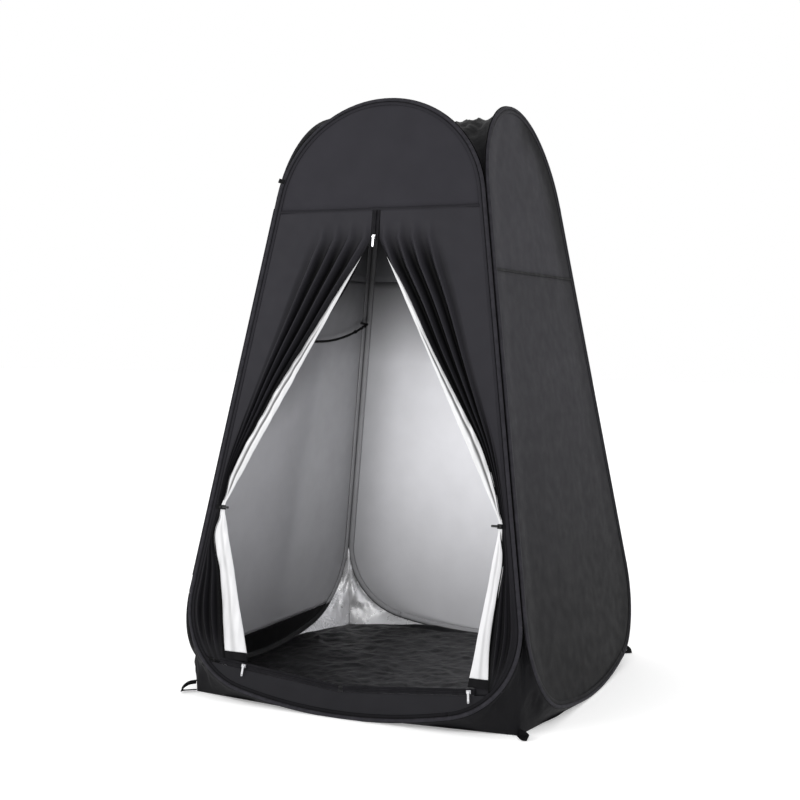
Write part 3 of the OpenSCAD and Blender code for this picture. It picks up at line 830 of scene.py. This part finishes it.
def gusset_grid(panel, seed):
    """Cloth from the lower corner of this panel's hoop, round the ground corner, to the next hoop."""
    outside = SLEEVE_R + 0.0005
    angles = np.linspace(TAPER - 0.02, ARC_END, 34)
    r = CORNER_R + outside
    arc_u, arc_s = ARC_U + r * np.cos(angles), ARC_S + r * np.sin(angles)
    foot = np.linspace(arc_u[-1], TRAY_END, 10)[1:]
    foot_s = BOTTOM_S - np.sqrt((BOTTOM_R + outside) ** 2 - foot**2)
    u, s = np.concatenate([arc_u, foot]), np.concatenate([arc_s, foot_s])
    first = place(panel, u, s)
    second = place((panel + 1) % 4, -u, s)
    drop = (first[:, 2] - first[-1, 2]) / (first[0, 2] - first[-1, 2]) * first[0, 2]
    post = HALF_BASE - LEAN_RUN * first[0, 2]
    spread = GROUND_CORNER + (post - 0.004 - GROUND_CORNER) * (drop / drop[0])
    turn = np.array([[0, -1, 0], [1, 0, 0], [0, 0, 1]])
    corner = np.stack([spread, -spread, drop + 0.0008], axis=-1) @ np.linalg.matrix_power(turn, panel).T
    t = np.linspace(0, 1, 22)[None, :, None]
    half_a = first[:, None] + t * (corner - first)[:, None]
    half_b = corner[:, None] + t * (second - corner)[:, None]
    p = np.concatenate([half_a, half_b[:, 1:]], axis=1)
    outward = corner[0] * np.array([1, 1, 0])
    outward = outward / np.linalg.norm(outward)
    q = np.linspace(-1, 1, p.shape[1])[None, :]
    free = ramp(1 - np.abs(q), 0, 0.25) * ramp(p[..., 2], 0.015, 0.11)
    fan = p * np.array([1, 1, 0.3])
    relief = FOIL_CREASE * (creases(fan, 0.05, seed) - 0.55) + 0.004 * bumps(p, 0.035, seed + 1)
    sag = -0.006 * np.sin(np.abs(q) * math.pi)
    return p + ((relief + sag) * free)[..., None] * outward


def gussets():
    """Three gussets in one piece each, and the open corner's in a half for each panel that rides on that
    panel.
    """
    for panel, name in ((0, "fr"), (1, "br"), (3, "fl")):
        p = gusset_grid(panel, 101 + panel)
        piece = sheet(f"gusset_{name}_cloth", p, "gusset", "foil", flip=True)
        fit(piece, None, "gusset_cloth", f"gusset_{name}")
        row, middle = p.shape[0] // 2, p.shape[1] // 2
        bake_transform(piece)
    p = gusset_grid(2, 103)
    middle = p.shape[1] // 2
    for half, panel, side in ((p[:, : middle + 1], 2, "back"), (p[:, middle:], 3, "left")):
        piece = sheet(f"gusset_bl_{side}", half, "gusset", "foil", flip=True)
        fit(piece, side, "gusset_cloth")
        if side == "left":
            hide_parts("gusset_bl")
        tuple(out_of(panel))
        tuple(place(panel, 0, 0))
        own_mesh(piece)


def stake_loop(name, corner, height):
    """A loop of webbing sewn into the corner: one strand comes down to the tip, one lies on the ground."""
    sx, sy = corner
    out = np.array([sx, sy, 0]) / math.sqrt(2)
    side = np.array([-out[1], out[0], 0])
    up = np.array([0, 0, 1.0])
    seam = out * (GROUND_CORNER * math.sqrt(2) + 0.001) + up * 0.005
    a = np.linspace(0, 1, 49)[:, None]
    reach = LOOP_REACH * np.sin(a * math.pi) ** 0.75 + 0.002 * (1 - a)
    rise = height * (1 - ramp(a, 0.05, 0.62))
    path = seam + out * reach + up * rise + side * 0.005 * np.sin(2 * math.pi * a)
    tilt = 0.88 - 0.45 * ramp(a, 0.45, 0.8)
    width = side * np.sqrt(1 - tilt**2) + up * tilt
    w = np.linspace(-1, 1, 7)[:, None, None]
    points = path[None] + w * width[None] * WEBBING_HALF
    points[..., 2] = np.maximum(points[..., 2], 0.0012)
    piece = sheet(f"stake_loop_{name}", points, "webbing", thick=0.0014)
    fit(piece, f"stake_{name}", "webbing", f"stake_{name}")


# ---------------------------------------------------------------- towel line


def tube(name, path, radius, strands, twist, material, segments=18):
    """A laid cord: a tube round a path whose section has strands that wind along it."""
    path = np.asarray(path, float)
    ahead = np.gradient(path, axis=0)
    ahead /= np.linalg.norm(ahead, axis=1)[:, None]
    side = np.cross(ahead, np.array([1.0, 0, 0]))
    side /= np.linalg.norm(side, axis=1)[:, None]
    up = np.cross(ahead, side)
    run = np.concatenate([[0], np.cumsum(np.linalg.norm(np.diff(path, axis=0), axis=1))])
    a = np.linspace(0, 2 * math.pi, segments + 1)
    r = np.broadcast_to(radius, (len(path),))[:, None]
    r = r * (0.86 + 0.14 * np.abs(np.cos(strands / 2 * (a[None, :] - run[:, None] * twist))))
    ring = side[:, None] * np.cos(a)[None, :, None] + up[:, None] * np.sin(a)[None, :, None]
    return sheet(name, path[:, None] + r[..., None] * ring, material, thick=0.0002)


def towel_line():
    """The sagging cord along the left wall, with a knot near each end and one further in."""
    low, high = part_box("towel_line")
    half = (high.y - low.y) / 2
    x = (low.x + high.x) / 2
    end_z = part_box("line_ring_front")[0].z + 0.005
    y = np.linspace(-half + 0.003, half - 0.003, 700)
    sag = end_z - 0.002 - low.z - 0.003
    z = end_z - sag * (1 - (y / half) ** 2)
    from_end = half - np.abs(y)
    knot = np.exp(-(((from_end - 0.02) / 0.006) ** 2)) + np.exp(-(((from_end - 0.1) / 0.008) ** 2))
    path = np.stack([np.full_like(y, x), y, z], axis=-1)
    piece = tube("towel_line_cord", path, 0.0046 + 0.0022 * knot, 3, 230, "rope")
    fit(piece, "towel_line", "line_cord", "towel_line")


# ---------------------------------------------------------------- materials on the CAD parts

CAD_LOOKS = {
    "wire": "wire", "ferrule": "ferrule", "sleeve": "binding", "cord": "binding", "strap": "webbing",
    "toggle": "toggle", "zip": "zip", "slider": "slider", "pull": "pull", "tab": "webbing", "line": "ring",
}


def dress_cad():
    """Gives each CAD node that stays visible its material."""
    for name, node in frame["nodes"].items():
        look = CAD_LOOKS.get(name.split("_")[0])
        if look:
            node.data.materials.clear()
            node.data.materials.append(M[look])


# ---------------------------------------------------------------- stage


def stage():
    """A pale floor and an even white surround."""
    ground = bpy.data.meshes.new("ground")
    far = 30.0
    ground.from_pydata([(-far, -far, 0), (far, -far, 0), (far, far, 0), (-far, far, 0)], [], [(0, 1, 2, 3)])
    n = Nodes("pale_floor")
    n.out("Base Color", n.ramp(n.noise(0.6, 2), (0.3, (0.9, 0.9, 0.9)), (0.7, (0.93, 0.93, 0.93))))
    n.shader.inputs["Roughness"].default_value = 0.9
    n.shader.inputs["Specular IOR Level"].default_value = 0.1
    n.shader.inputs["Emission Color"].default_value = (1, 1, 1, 1)
    n.shader.inputs["Emission Strength"].default_value = 0.3
    ground.materials.append(n.material)
    plane = bpy.data.objects.new("stage_ground", ground)
    plane.location.z = -0.0006
    bpy.context.scene.collection.objects.link(plane)

    world = bpy.data.worlds.new("studio")
    world.use_nodes = True
    world.node_tree.nodes["Background"].inputs["Color"].default_value = (1, 1, 1, 1)
    world.node_tree.nodes["Background"].inputs["Strength"].default_value = 1.0
    bpy.context.scene.world = world
    bpy.context.scene.view_settings.view_transform = "Standard"


def soft_light(name, at, aim, size, power, seen=True):
    """A softbox; seen says whether it shows in reflections."""
    light = bpy.data.lights.new(name, "AREA")
    light.shape = "RECTANGLE"
    light.size, light.size_y = size
    light.energy = power
    lamp = bpy.data.objects.new(name, light)
    bpy.context.scene.collection.objects.link(lamp)
    lamp.location = at
    lamp.rotation_mode = "QUATERNION"
    lamp.rotation_quaternion = (Vector(aim) - Vector(at)).to_track_quat("-Z", "Y")
    lamp.visible_camera = False
    lamp.visible_glossy = seen


def camera():
    data = bpy.data.cameras.new("view")
    data.lens = 59.0
    data.sensor_width = 36
    cam = bpy.data.objects.new("view", data)
    bpy.context.scene.collection.objects.link(cam)
    yaw, up, roll = (math.radians(x) for x in (24.46, -2.76, 0.38))
    turn = Matrix.Rotation(yaw, 4, "Z") @ Matrix.Rotation(math.pi / 2 + up, 4, "X")
    cam.matrix_world = Matrix.Translation((1.777, -4.093, 1.149)) @ turn @ Matrix.Rotation(roll, 4, "Z")
    bpy.context.scene.camera = cam


def lights():
    soft_light("key", (-2.4, -4.0, 2.6), (0, -0.4, 0.8), (2.4, 2.4), 70)
    soft_light("side", (4.2, -0.6, 2.0), (0.4, 0, 0.9), (2.0, 2.6), 12)
    soft_light("inside", (-0.2, -0.3, 0.66), (0.6, 0.4, 0.5), (0.25, 0.6), 13, seen=False)


# ---------------------------------------------------------------- build

dress_cad()
walls()
for panel in range(4):
    hoop_trim(panel)
door_header()
door_sill()
for side in (-1, 1):
    flap(side)
roof()
floor()
gussets()
for name, corner, height in (
    ("fl", (-1, -1), 0.027), ("fr", (1, -1), 0.008), ("br", (1, 1), 0.016), ("bl", (-1, 1), 0.02)
):
    stake_loop(name, corner, height)
towel_line()
stage()
lights()
camera()
